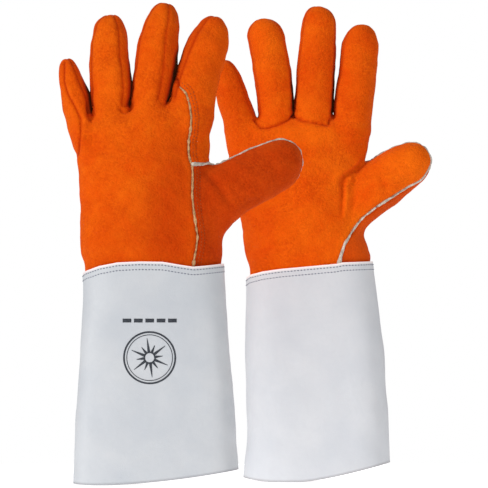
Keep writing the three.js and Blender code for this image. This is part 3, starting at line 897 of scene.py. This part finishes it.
def smooth_leather(name, base, shade, raw, edge):
    """Grain leather: nearly even, with fine pores; tone 1 is the pale cut hem, -1 the lower cut
    edge darkened as painted shade.
    """
    n = Nodes(name)
    cloud = n.spread(n.noise(26, 3, 0.5, 0.3), 0.3, 0.7)
    scuff = n.spread(n.noise(240, 4, 0.65), 0.42, 0.74)
    pores = n.spread(n.noise(1400, 2, 0.5), 0.3, 0.7)
    color = n.mix(n.math("MULTIPLY", cloud, 0.55), base, shade)
    color = n.mix(n.math("MULTIPLY", scuff, 0.16), color, shade)
    color = n.mix(n.math("MAXIMUM", n.tone, 0.0), color, raw)
    # Painted shade on the lower cut edge
    color = n.mix(n.below_zero(), color, edge)
    rough = n.math("ADD", n.math("MULTIPLY", scuff, 0.1), 0.5)
    normal = n.bump(pores, 0.00008, 0.6, n.bump(scuff, 0.0002, 0.35))
    return n.finish(color, rough, normal, 0.0, WHITE, 0.4)


def fibrous(name, base, deep, coarse, distance, sheen=0.1):
    """Welts, fleece and thread: uneven fibres."""
    n = Nodes(name)
    tufts = n.spread(n.noise(coarse, 4, 0.65, 0.5), 0.3, 0.7)
    fine = n.spread(n.noise(coarse * 4, 3, 0.6), 0.3, 0.7)
    color = n.mix(n.math("MULTIPLY", tufts, 0.8), base, deep)
    color = n.mix(n.math("MULTIPLY", fine, 0.3), color, deep)
    normal = n.bump(tufts, distance, 0.8, n.bump(fine, distance / 3, 0.6))
    return n.finish(color, 0.92, normal, sheen, WHITE, 0.2)


MATERIALS = {
    "split_leather": suede("suede", srgb(178, 46, 0), srgb(232, 86, 2), srgb(252, 120, 12)),
    "side_leather": suede("side_suede", srgb(150, 34, 0), srgb(206, 64, 2), srgb(228, 90, 14)),
    # A cuff's last colour is the painted shade of its lower edge
    "left_cuff": smooth_leather("left_cuff_leather", srgb(193, 195, 198), srgb(175, 180, 187),
                                srgb(250, 232, 230), srgb(150, 150, 154)),
    "right_cuff": smooth_leather("right_cuff_leather", srgb(202, 203, 206), srgb(187, 190, 196),
                                 srgb(252, 236, 232), srgb(158, 156, 158)),
    "tan_welt": fibrous("tan_welt", srgb(240, 186, 132), srgb(96, 70, 36), 330, 0.0005),
    "grey_welt": fibrous("grey_welt", srgb(232, 222, 208), srgb(128, 114, 96), 300, 0.0005),
    "fleece_lining": fibrous("fleece", srgb(240, 234, 222), srgb(196, 186, 168), 420, 0.0012, 0.3),
    "stitch_thread": fibrous("thread", srgb(128, 132, 148), srgb(62, 66, 82), 1500, 0.0002),
    "orange_thread": fibrous("orange_thread", srgb(206, 92, 28), srgb(120, 44, 8), 1500, 0.0002),
    "print_ink": fibrous("ink", srgb(72, 76, 82), srgb(40, 42, 48), 700, 0.00005, 0.0),
}


# ---- The suede hand ----

def crease(r, side, points, depth, width):
    """A soft fold line on one face of the hand, with a puffed lip on both sides."""
    distance, along = follow(r[:, 0], r[:, 2], points)
    total = sum(math.dist(a, b) for a, b in zip(points[:-1], points[1:]))
    fade = np.sin(np.pi * np.clip(along / total, 0, 1)) ** 0.6
    face = smoothstep(r[:, 1] * side, 1, 6)
    groove = np.exp(-(distance / width) ** 2)
    lip = np.exp(-((np.abs(distance) - 2.1 * width) / (1.1 * width)) ** 2)
    return (-depth * groove + 0.4 * depth * lip) * fade * face, groove * fade * face


# Folds: face, line of [x, z], depth or a ridge's height below 0, and half width
CREASES = {
    "left": [
        (-1, [[-36, 249], [-24, 240], [-14, 226], [-10, 214]], 0.9, 2.6),
        (-1, [[-8, 214], [4, 224], [14, 228]], 0.8, 2.4),
        (-1, [[-128, 268], [-112, 262], [-98, 264]], 0.5, 3.0),
        (-1, [[-92, 286], [-84, 272], [-80, 256]], 0.5, 3.5),
        (1, [[-44, 262], [-50, 240], [-46, 214]], 2.2, 3.4),
        (1, [[-126, 262], [-104, 256], [-84, 262], [-62, 274]], 1.0, 3.0),
        (-1, [[-30, 300], [-40, 296], [-52, 298]], 0.4, 2.4),
        (-1, [[-99.4, 303], [-98.2, 299.6], [-95.2, 297.4], [-92.4, 300.6], [-90.4, 306]],
         -1.0, 1.0),
        (-1, [[-101.6, 303], [-100.4, 298], [-95.2, 294.8], [-90.4, 299], [-88.4, 306]], 0.8, 0.9),
        (-1, [[-126, 305], [-125.4, 293], [-122.8, 289], [-120.6, 294], [-121.4, 305]], 1.0, 1.1),
        (-1, [[-70, 309], [-67, 303], [-63.8, 301.4], [-61, 305], [-58, 311]], 0.9, 1.2),
    ],
    "right": [
        (1, [[97, 262], [93, 255], [88.6, 250.4], [82, 247], [77.4, 243], [76.6, 236]], 1.9, 2.0),
        (1, [[80.6, 247], [78.2, 239], [77.8, 226], [77.2, 212]], 1.3, 1.4),
        (1, [[92, 249], [85, 246.5], [81.6, 238], [81.2, 226], [79.8, 211]], -1.3, 2.1),
        (1, [[88.8, 240], [88.2, 231], [86, 219]], 0.6, 2.6),
        (1, [[70, 282], [82, 279], [97, 281]], 0.9, 2.2),
        (1, [[74, 275], [84, 272], [96, 273]], 0.6, 2.0),
        (1, [[-8, 274], [8, 270], [26, 272]], 0.5, 2.6),
        (1, [[106, 250], [112, 238], [112, 228]], 0.7, 2.6),
        (-1, [[-8, 262], [16, 256], [40, 262]], 0.6, 3.0),
    ],
}


def seams_of(glove, skin):
    """Every sewn line as (millimetres from it, where it counts as a share)."""
    r = skin["r"]
    x, v, z = r.T
    hand = glove.hand
    above = {}
    for name, digit in hand.digits.items():
        above[name] = (smoothstep(digit.place(x, z)[0], digit.cut - 8, digit.cut + 2)
                       * (digit.field(x, v, z) < hand.others(name, r)))
    out = [(hand.gusset(name, side, r) * GUSSET_SCALE, above[name] * SOFT_SEAM[glove.name])
           for name, sides in GUSSETS.items() for side in sides]
    not_gusset = hand.gusset("little", "inner", r) < 0
    beside_little = x < hand.digits["little"].hinge[0] + WRAP_REACH
    little_zone = np.maximum(above["little"], beside_little * smoothstep(z, *WRAP_START))
    wrap_share = little_zone * (v < 1) * np.where(above["little"] > 0.1, not_gusset, 1)
    out.append((hand.wrap_edge(r), wrap_share))
    seam = hand.back_seam(r)
    out.append((seam, (v < ON_BACK) * 1.0))
    out += [((seam - row) * ROW_SCALE, (v < ON_BACK) * ROW_SHARE) for row in TOPSTITCH]
    reach = np.maximum(above["thumb"], (z < THUMB_TOP))
    past_seam = np.where(v < 0, seam > 0, True)
    out.append((hand.thumb_side(r), past_seam * reach * (above["index"] < 0.5)))
    out += [(beside(x, z, base), (v > ON_PALM) * 1.0) for base in glove.spec["finger_bases"]]
    return out


# Areas of painted shade, or of painted light below 0: face, centre and reach in x and z, and amount
PAINTED_PATCHES = {
    "left": [
        (-1, (-84.0, 172.0), (50.0, 60.0), 0.3),
        (-1, (-58.0, 214.0), (24.0, 62.0), 0.42),
        (-1, (24.0, 246.0), (36.0, 26.0), 0.24),
        (-1, (-44.0, 262.0), (26.0, 40.0), 0.18),
        (-1, (-22.0, 330.0), (22.0, 46.0), 0.18),
    ],
    "right": [
        (1, (44.0, 279.0), (30.0, 11.0), -0.35),
        (1, (126.0, 254.0), (26.0, 20.0), -0.28),
        (1, (16.0, 340.0), (14.0, 38.0), -0.15),
        (1, (4.0, 206.0), (22.0, 44.0), 0.3),
        (1, (90.0, 194.0), (13.0, 26.0), -0.5),
        (1, (-14.0, 312.0), (18.0, 36.0), 0.24),
        (1, (18.0, 262.0), (26.0, 16.0), 0.25),
        (1, (56.0, 330.0), (16.0, 36.0), 0.12),
        (1, (92.0, 334.0), (12.0, 40.0), 0.14),
    ],
}


def painted_patches(name, r):
    total = np.zeros(len(r))
    for side, centre, reach, amount in PAINTED_PATCHES[name]:
        off = (r[:, [0, 2]] - centre) / reach
        total += amount * np.exp(-(off ** 2).sum(1) ** 1.5) * smoothstep(r[:, 1] * side, 0, 6)
    return total


def painted_crotch_shade(hand, r, n):
    """Painted shade on the walls between neighbouring fingers, most on those facing the thumb's
    side, away from the key lamp.
    """
    fields = [hand.digits[name].field(*r.T) for name in FINGERS]
    near = np.zeros(len(r))
    for a, b in zip(fields[:-1], fields[1:]):
        near = np.maximum(near, smoothstep(-np.maximum(a, b), -7, -0.5))
    wall = smoothstep(n[:, 0], 0.25, 0.85) + 0.3 * smoothstep(-n[:, 0], 0.4, 0.9)
    return CROTCH_PAINTED_SHADE * near * wall * smoothstep(r[:, 2], *CROTCH_SPAN)


def dress(glove, skin):
    """Displaces the plain skin into worn suede, and tones it: darker seams, painted shade in its
    creases and between its fingers, painted highlights on its ridges, and patches of painted shade
    and light.
    """
    r, n = skin["r"], skin["n"]
    lift = wear(r, WEAR, SEEDS[glove.name][0])
    tone = np.zeros(len(r))
    depth, half = GROOVE
    height, away, spread = PUFF
    for distance, share in seams_of(glove, skin):
        groove = np.exp(-(distance / half) ** 2)
        puff = np.exp(-((np.abs(distance) - away) / spread) ** 2)
        lift += (height * puff - depth * groove) * share
        tone = np.maximum(tone, SEAM_TONE * groove * share)
    for fold in CREASES[glove.name]:
        change, groove = crease(r, *fold)
        lift += change
        # Painted shade along the folds, and painted highlight along ridges whose depth is below 0
        tone += FOLD_PAINTED_LIGHT_AND_SHADE * groove * min(fold[2], 1.6)
    # Patches of painted shade and light, and painted shade between the fingers
    tone += painted_patches(glove.name, r) + painted_crotch_shade(glove.hand, r, n)
    free = smoothstep(r[:, 2], *FREE_SPAN)  # the cuff keeps the rest flat
    skin["p"] = r + n * (lift * (0.25 + 0.75 * free))[:, None]
    skin["n"] = point_normals(skin["p"], skin["faces"])
    skin["tone"] = tone[:, None]


def build_hand(glove):
    hand = glove.hand
    margin = 4
    tips = [digit.tip for digit in hand.digits.values()]
    palm_edge = glove.spec["palm"][-1][1]
    near = min(palm_edge, *(tip[0] - ROOM for tip in tips)) - margin
    far = max(tip[0] + ROOM for tip in tips) + margin
    low = (near, HAND_DEPTHS[0], SKIN_START)
    high = (far, HAND_DEPTHS[1], max(tip[1] for tip in tips) + 2 * margin)
    skin = grow(hand.field, low, high, STEP)
    dress(glove, skin)
    hem = np.array(CUFFS[glove.name]["top"]).T

    def above_hem(part, tuck):
        return part["r"][:, 2] - np.interp(part["r"][:, 0], *hem) + tuck

    skin, _ = split(skin, above_hem(skin, TUCK))
    lines = seam_lines(hand, skin)
    parts = {finger: finger_skin(glove, finger) for finger in FINGERS}
    rest, _ = split(skin, -hand.past_cut(skin["r"]))
    thumb, rest = split(rest, hand.digit_share("thumb", rest["r"]))
    parts["thumb"] = largest(thumb)
    suede_pieces(glove, largest(rest), parts)
    trims(glove, lines)
    lining = grow(lambda x, v, z: hand.field(x, v, z) + LINING_DEPTH, low, high, LINING_STEP)
    height, size, seed = FLEECE_WEAR
    lining["p"] = lining["p"] + lining["n"] * (height * ripple(lining["r"], size, seed))[:, None]
    linings(glove, split(lining, above_hem(lining, LINING_TUCK))[0])


def finger_skin(glove, finger):
    """A finger's own whole tube, so that no hole shows where its neighbour touches it."""
    digit = glove.hand.digits[finger]
    overlap, below, above = 0.3, 14, 5
    across = (digit.hinge[0], digit.tip[0])
    low = (min(across) - ROOM, FINGER_DEPTHS[0], digit.hinge[1] - below)
    high = (max(across) + ROOM, FINGER_DEPTHS[1], digit.tip[1] + above)
    skin = grow(lambda x, v, z: glove.hand.finger_field(finger, x, v, z), low, high, STEP)
    dress(glove, skin)
    s = digit.place(skin["r"][:, 0], skin["r"][:, 2])[0]
    return largest(split(skin, s - digit.cut + overlap)[0])


def suede_pieces(glove, rest, parts):
    """Cuts the hand and its digits along their seams into panels."""
    hand = glove.hand

    def add(label, skin, node, digit=None, slot="split_leather", shade=0.0):
        points, faces, corners = thicken(skin, LEATHER)
        tone = np.concatenate([skin["tone"], skin["tone"]]) + shade
        made = glove.piece(label, points, faces, MATERIALS[slot], slot, [node], corners,
                           np.clip(tone, -1, 2), np.concatenate([skin["r"], skin["r"]]))
        glove.bend(made, digit)

    r, away = rest["r"], 9.0
    past_seam = np.where(r[:, 1] < 0, hand.back_seam(r), away)
    side, other = split(rest, np.minimum(-hand.thumb_side(r), past_seam))
    r = other["r"]
    on_back = np.minimum(np.minimum(-hand.back_seam(r), hand.wrap_edge(r)), -r[:, 1])
    back, palm = split(other, on_back)
    add("suede_side", side, "side_panel", slot="side_leather")
    add("suede_back", back, "hand_back")
    add("suede_palm", palm, "palm")
    for digit in FINGERS:
        skin = parts[digit]
        for side in GUSSETS[digit]:
            gusset, skin = split(skin, hand.gusset(digit, side, skin["r"]))
            node = "gusset" if digit in ("little", "index") else f"{side}_gusset"
            # The gussets get painted shade, as if their sides were turned from the light
            add(f"{digit}_suede_{side}", gusset, f"{digit}_{node}", digit, shade=GUSSET_PAINTED_SHADE)
        if digit == "index":
            add("index_suede_wrap", skin, "index_wrap", digit)
            continue
        through = hand.digits[digit].section(*skin["r"].T)[2]
        if digit == "little":
            on_back = np.minimum(hand.wrap_edge(skin["r"]), -through * FINGER_DEPTH)
            halves = zip(("back", "wrap"), split(skin, on_back))
        else:
            halves = zip(("front", "back"), split(skin, through))
        for half, panel in halves:
            add(f"{digit}_suede_{half}", panel, f"{digit}_{half}", digit)
    front, rear = split(parts["thumb"], hand.thumb_side(parts["thumb"]["r"]))
    add("thumb_suede_front", front, "thumb_front", "thumb")
    add("thumb_suede_back", rear, "thumb_back", "thumb", "side_leather")


def seam_lines(hand, skin):
    """The lines that carry welts and topstitching, traced on the finished skin."""
    seam = hand.back_seam(skin["r"])
    top = hand.spec["back_seam"][1][1]

    def along_back(q):
        return (q[:, 1] < np.where(q[:, 2] > 295, -8, ON_BACK)) & (q[:, 2] < top)

    def along_row(q):
        return (q[:, 1] < ON_BACK) & (q[:, 2] < top + 3)

    def near_thumb(q):
        s = hand.digits["index"].place(q[:, 0], q[:, 2])[0]
        return (s < 0) & ((q[:, 1] > 0) | (hand.back_seam(q) > 0))

    lines = {f"row_{i}": trace(skin, seam - row, along_row) for i, row in enumerate(TOPSTITCH)}
    lines["back"] = trace(skin, seam, along_back)
    lines["thumb"] = trace(skin, hand.thumb_side(skin["r"]), near_thumb)
    return lines


def trims(glove, lines):
    """Welts and rows of stitches, each with a stretch on the hand and one on a digit."""
    back_seam = np.array(glove.spec["back_seam"])
    meeting = np.interp(glove.spec["thumb_back"][1][1], *back_seam[::-1, ::-1].T)
    more, seam_reach, cuff_reach, end = 0.9, 9, 16, 166

    def broad(line):
        """The thumb's welt spreads where it meets the back seam, and towards the cuff."""
        x, v, z = line["r"].T
        at_seam = np.where(v < 0, np.abs(x - meeting), np.inf)
        at_cuff = np.clip(z - end, 0, None)
        return (1 + more * np.exp(-(at_seam / seam_reach) ** 2)
                + more * np.exp(-(at_cuff / cuff_reach) ** 2))

    def thumb_welt(line):
        return tube(line, half_width=1.05, half_height=1.4, lift=0.5, rough=0.25, seed=5,
                    flare=broad)

    def back_welt(line):
        return tube(line, half_width=0.95, half_height=1.0, lift=0.3, rough=0.42, seed=9)

    sewn = [
        ("thumb", 6, thumb_welt, "grey_welt", "grey_welt", "thumb",
         {"thumb_welt_hand": ["thumb_welt_back", "thumb_welt_palm"],
          "thumb_welt_digit": ["thumb_welt"]}),
        ("back", 4, back_welt, "tan_welt", "tan_welt", "index",
         {"back_welt_hand": ["back_seam_welt"], "back_welt_index": []}),
    ]
    sewn += [(f"row_{i}", 4, stitches, "orange_thread", "stitch_thread", "index",
              {f"topstitch_{i}_hand": [], f"topstitch_{i}_index": []})
             for i in range(len(TOPSTITCH))]
    for key, smooth, build, material, slot, digit, stretches in sewn:
        line = resample(lines[key], LINE_STEP, smooth)
        share = glove.hand.digit_share(digit, line["r"])
        for (label, nodes), own, body in zip(stretches.items(), (-share, share), (None, digit)):
            built = [build(stretch) for stretch in part_of(line, own >= -OVERLAP)]
            if built:
                points, faces = join(built)
                made = glove.piece(label, points, faces, MATERIALS[material], slot, nodes)
                glove.bend(made, body)


def linings(glove, rest):
    """The fleece, cut where the leather's digits leave the hand."""
    parts = {}
    for digit in glove.hand.digits:
        parts[digit], rest = split(rest, glove.hand.digit_share(digit, rest["r"]))
    for digit, part in {None: rest, **parts}.items():
        label = digit or "hand"
        points, faces, corners = thicken(part, LINING_THICKNESS)
        made = glove.piece(f"fleece_{label}", points, faces, MATERIALS["fleece_lining"],
                           "fleece_lining", [f"{label}_lining"], corners)
        glove.bend(made, digit)


# ---- The gauntlet cuffs ----

class Cuff:
    def __init__(self, name):
        spec = CUFFS[name]
        self.shape = profile(spec["rows"], 14.0)
        self.top_line = np.array(spec["top"]).T
        self.rise = spec["rise"]
        self.corner = spec["corner"]
        self.seed = SEEDS[name][1]

    def top(self, x):
        return np.interp(x, *self.top_line)

    def bottom(self, x):
        start, end, height, power = self.rise
        corner, reach, lift = self.corner
        return (height * np.clip((x - start) / (end - start), 0, 1.2) ** power
                + lift * np.clip((corner + reach - x) / reach, 0, 1.1) ** 2)

    def power(self, z):
        return PRESSED[0] + (PRESSED[1] - PRESSED[0]) * smoothstep(z, *PRESSED_SPAN)

    def point(self, angle, z, inset=0.0):
        """A point of the wall, softly uneven, with inset drawn in from the outer face."""
        low, high, depth = self.shape(z)
        half = (high - low) / 2
        c, s = np.cos(angle), np.sin(angle)
        power = self.power(z)
        plain = np.stack([
            (low + high) / 2 + half * np.sign(c) * np.abs(c) ** (2 / power),
            depth * np.sign(s) * np.abs(s) ** (2 / power),
            z + 0 * angle,
        ], -1)
        out = unit(np.stack([c * depth, s * half, 0 * c], -1))
        loose = smoothstep(z, *LOOSE_SPAN)
        flat = plain.reshape(-1, 3)
        waves = wear(flat, CUFF_WEAR, self.seed)
        folds = np.sin(angle * 3 + self.seed) * 0.9 * loose + np.sin(angle * 7 + 1) * 0.3 * loose
        seam_depth, seam_half = CUFF_SEAM
        groove = -seam_depth * np.exp(-(np.sin(angle) * half / seam_half) ** 2)
        lift = waves.reshape(plain.shape[:-1]) * (0.3 + 0.7 * loose) + folds + groove - inset
        height, down, spread = HEM_RIDGE
        hem = np.exp(-((self.top(plain[..., 0]) - z - down) / spread) ** 2) * height
        return plain + out * (lift + hem)[..., None]


def cuff_panel(cuff, low_angle, high_angle):
    """Closed panel over half of the wall: points, triangles and tone."""
    across, rows = 120, 74
    angles = np.linspace(low_angle, high_angle, across)
    angle, t = np.meshgrid(angles, np.linspace(0, 1, rows), indexing="ij")
    z = t * CUFF_TOP
    for _ in range(3):
        x = cuff.point(angle, z)[..., 0]
        z = cuff.bottom(x) * (1 - t) + cuff.top(x) * t
    outer = cuff.point(angle, z)
    inner = cuff.point(angle, z, CUFF_LEATHER)
    # The top row is the pale cut hem; the bottom row is darkened as painted shade
    edge = np.where(t == 1, 1.0, np.where(t == 0, -1.0, 0.0))
    points = np.concatenate([outer.reshape(-1, 3), inner.reshape(-1, 3)])
    inside = np.where(edge == 0, CUFF_INSIDE_TONE, edge)
    tone = np.concatenate([edge.ravel(), inside.ravel()])
    count = across * rows
    i, k = np.meshgrid(np.arange(across - 1), np.arange(rows - 1), indexing="ij")
    a = (i * rows + k).ravel()
    quads = np.stack([a, a + rows, a + rows + 1, a + 1], 1)
    faces = [quads, quads[:, ::-1] + count]
    column, row = np.arange(across) * rows, np.arange(rows)
    for border, order in ((column, -1), (column + rows - 1, 1), (row, 1), (row + count - rows, -1)):
        p, q = border[:-1], border[1:]
        faces.append(np.stack([p, q, q + count, p + count], 1)[:, ::order])
    return points, np.concatenate(faces), tone


def build_cuff(glove):
    cuff = Cuff(glove.name)
    for label, low, high in (("palm", 0.0, math.pi), ("back", math.pi, 2 * math.pi)):
        points, quads, tone = cuff_panel(cuff, low, high)
        made = glove.piece(f"cuff_leather_{label}", points, outward(quads, points, points),
                           MATERIALS[f"{glove.name}_cuff"], "cuff_leather", [f"cuff_{label}"],
                           tone=tone)
        made.data.set_sharp_from_angle(angle=math.radians(SHARP))
        glove.ride(made, "cuff")
    rows = []
    angle = np.linspace(0, 2 * math.pi, 400)
    for down in HEM_ROWS:
        z = np.full(len(angle), CUFF_TOP - 4.0)
        for _ in range(3):
            z = cuff.top(cuff.point(angle, z)[:, 0]) - down
        p = cuff.point(angle, z)
        n = unit(np.cross(np.gradient(p, axis=0), np.array([0, 0, 1.0])))
        if (n * (p - p.mean(0))).sum() < 0:
            n = -n
        rows.append(stitches({"p": p, "n": n}, radius=0.4, lift=0.14))
    points, faces = join(rows)
    made = glove.piece("hem_stitches", points, faces, MATERIALS["stitch_thread"],
                       "stitch_thread", [])
    glove.ride(made, "cuff")
    return cuff


def mark_patch(cuff, outline_a, outline_b, centre):
    """A thin inked strip between two lines of points on the back of the cuff."""
    a, b = (np.array(outline, float) + centre for outline in (outline_a, outline_b))
    points = []
    for x, z in np.concatenate([a, b]):
        low, high, _ = cuff.shape(z)
        share = (x - (low + high) / 2) / ((high - low) / 2)
        angle = 2 * math.pi - math.acos(float(np.sign(share) * abs(share) ** (cuff.power(z) / 2)))
        points += [cuff.point(np.array([angle]), np.array([z]), inset)[0] for inset in INK]
    n = len(a)
    top_a, low_a = np.arange(n) * 2, np.arange(n) * 2 + 1
    top_b, low_b = top_a + 2 * n, low_a + 2 * n
    quads = []
    for i in range(n - 1):
        quads += [(top_a[i], top_a[i + 1], top_b[i + 1], top_b[i]),
                  (low_a[i], low_b[i], low_b[i + 1], low_a[i + 1]),
                  (top_a[i], low_a[i], low_a[i + 1], top_a[i + 1]),
                  (top_b[i], top_b[i + 1], low_b[i + 1], low_b[i])]
    quads += [(top_a[0], top_b[0], low_b[0], low_a[0]),
              (top_a[-1], low_a[-1], low_b[-1], top_b[-1])]
    faces = [face for p, q, r, s in quads for face in ([p, q, r], [p, r, s])]
    return np.array(points), np.array(faces)


def build_mark(glove, cuff):
    """A generic printed sign: a spark burst in a ring, under a bar of dashes."""
    centre = np.array([-76.0, 101.0])
    turn = np.linspace(0, 2 * math.pi, 73)
    circle = np.stack([np.cos(turn), np.sin(turn)], 1)
    parts = [mark_patch(cuff, circle * outer, circle * inner, centre)
             for outer, inner in ((21.0, 19.6), (18.4, 17.8))]
    steps = np.linspace(0, 1, 7)[:, None]
    rays, tilt = 12, 0.13
    for i in range(rays):
        angle = i * 2 * math.pi / rays + tilt
        along = np.array([math.cos(angle), math.sin(angle)])
        across = np.array([-along[1], along[0]])
        near, far = 3.6, (15.5 if i % 2 else 10.5)
        spine = along * (near + steps * (far - near))
        half = (1.25 - 1.05 * steps) * across
        parts.append(mark_patch(cuff, spine + half, spine - half, centre))
    for x in (-18.0, -9.0, 0.0, 9.0, 18.0):
        dash = np.stack([np.linspace(x - 3.4, x + 3.4, 6), np.full(6, 29.4)], 1)
        parts.append(mark_patch(cuff, dash + [0, 1.5], dash - [0, 1.5], centre))
    points, faces = join(parts)
    made = glove.piece("printed_mark", points, faces[:, ::-1], MATERIALS["print_ink"],
                       "print_ink", [])
    glove.ride(made, "cuff")


# ---- The scene ----

def build_camera():
    camera = bpy.data.cameras.new("camera")
    camera.lens = LENS
    camera.clip_end = 100.0
    seat = bpy.data.objects.new("camera", camera)
    seat.location = EYE
    seat.rotation_euler = (math.radians(90), 0, 0)
    bpy.context.scene.collection.objects.link(seat)
    bpy.context.scene.camera = seat


def build_floor():
    mesh = bpy.data.meshes.new("floor")
    sides, radius, below = 96, 0.7, 0.0002
    turn = np.linspace(0, 2 * math.pi, sides + 1)[:-1]
    points = np.stack([radius * np.cos(turn), radius * np.sin(turn), 0 * turn - below], 1)
    mesh.from_pydata(points.tolist(), [], [list(range(sides))])
    floor = bpy.data.objects.new("floor", mesh)
    bpy.context.scene.collection.objects.link(floor)
    pale = bpy.data.materials.new("floor")
    pale.use_nodes = True
    wire(pale.node_tree, pale.node_tree.nodes["Principled BSDF"], {
        "Base Color": (0.85, 0.85, 0.85, 1), "Roughness": 0.9, "Specular IOR Level": 0.1,
        "Emission Color": WHITE, "Emission Strength": 0.8})
    mesh.materials.append(pale)


def build_studio():
    """A white studio that lights the gloves less than it shows, and its shared lamps."""
    bpy.context.scene.view_settings.view_transform = "Standard"
    world = bpy.data.worlds.new("studio")
    bpy.context.scene.world = world
    world.use_nodes = True
    tree = world.node_tree
    lit, seen = tree.nodes["Background"], tree.nodes.new("ShaderNodeBackground")
    path, mix = tree.nodes.new("ShaderNodeLightPath"), tree.nodes.new("ShaderNodeMixShader")
    wire(tree, lit, {"Color": (0.97, 0.98, 1.0, 1), "Strength": 0.4})
    wire(tree, seen, {"Color": WHITE, "Strength": 1.0})
    wire(tree, mix, {0: path.outputs["Is Camera Ray"], 1: lit.outputs[0], 2: seen.outputs[0]})
    wire(tree, tree.nodes["World Output"], {"Surface": mix.outputs[0]})

    for name, place, size, power in LIGHTS:
        add_light(name, place, size, power)


def add_light(name, place, size, power, glove=None):
    """A soft lamp on the pair, or on one glove alone so that its neighbour's shadow stays off."""
    light = bpy.data.lights.new(name, "AREA")
    light.size = size
    light.energy = power
    lamp = bpy.data.objects.new(name, light)
    lamp.location = place
    aim = Vector(AIM) - Vector(place)
    lamp.rotation_euler = aim.to_track_quat("-Z", "Y").to_euler()
    bpy.context.scene.collection.objects.link(lamp)
    if glove is not None:
        lit = bpy.data.collections.new(name)
        for thing in bpy.context.scene.objects:
            if thing.type == "MESH" and thing.name.startswith(glove):
                lit.objects.link(thing)
        lamp.light_linking.receiver_collection = lit
        lamp.light_linking.blocker_collection = lit


build_camera()
build_floor()
build_studio()
for glove_name in GLOVES:
    one = Glove(glove_name)
    build_hand(one)
    wall = build_cuff(one)
    if glove_name == "left":
        build_mark(one, wall)
    add_light(f"key_{glove_name}", KEY_PLACE, KEY_SIZE, KEYS[glove_name], glove_name)

bpy.context.view_layer.update()
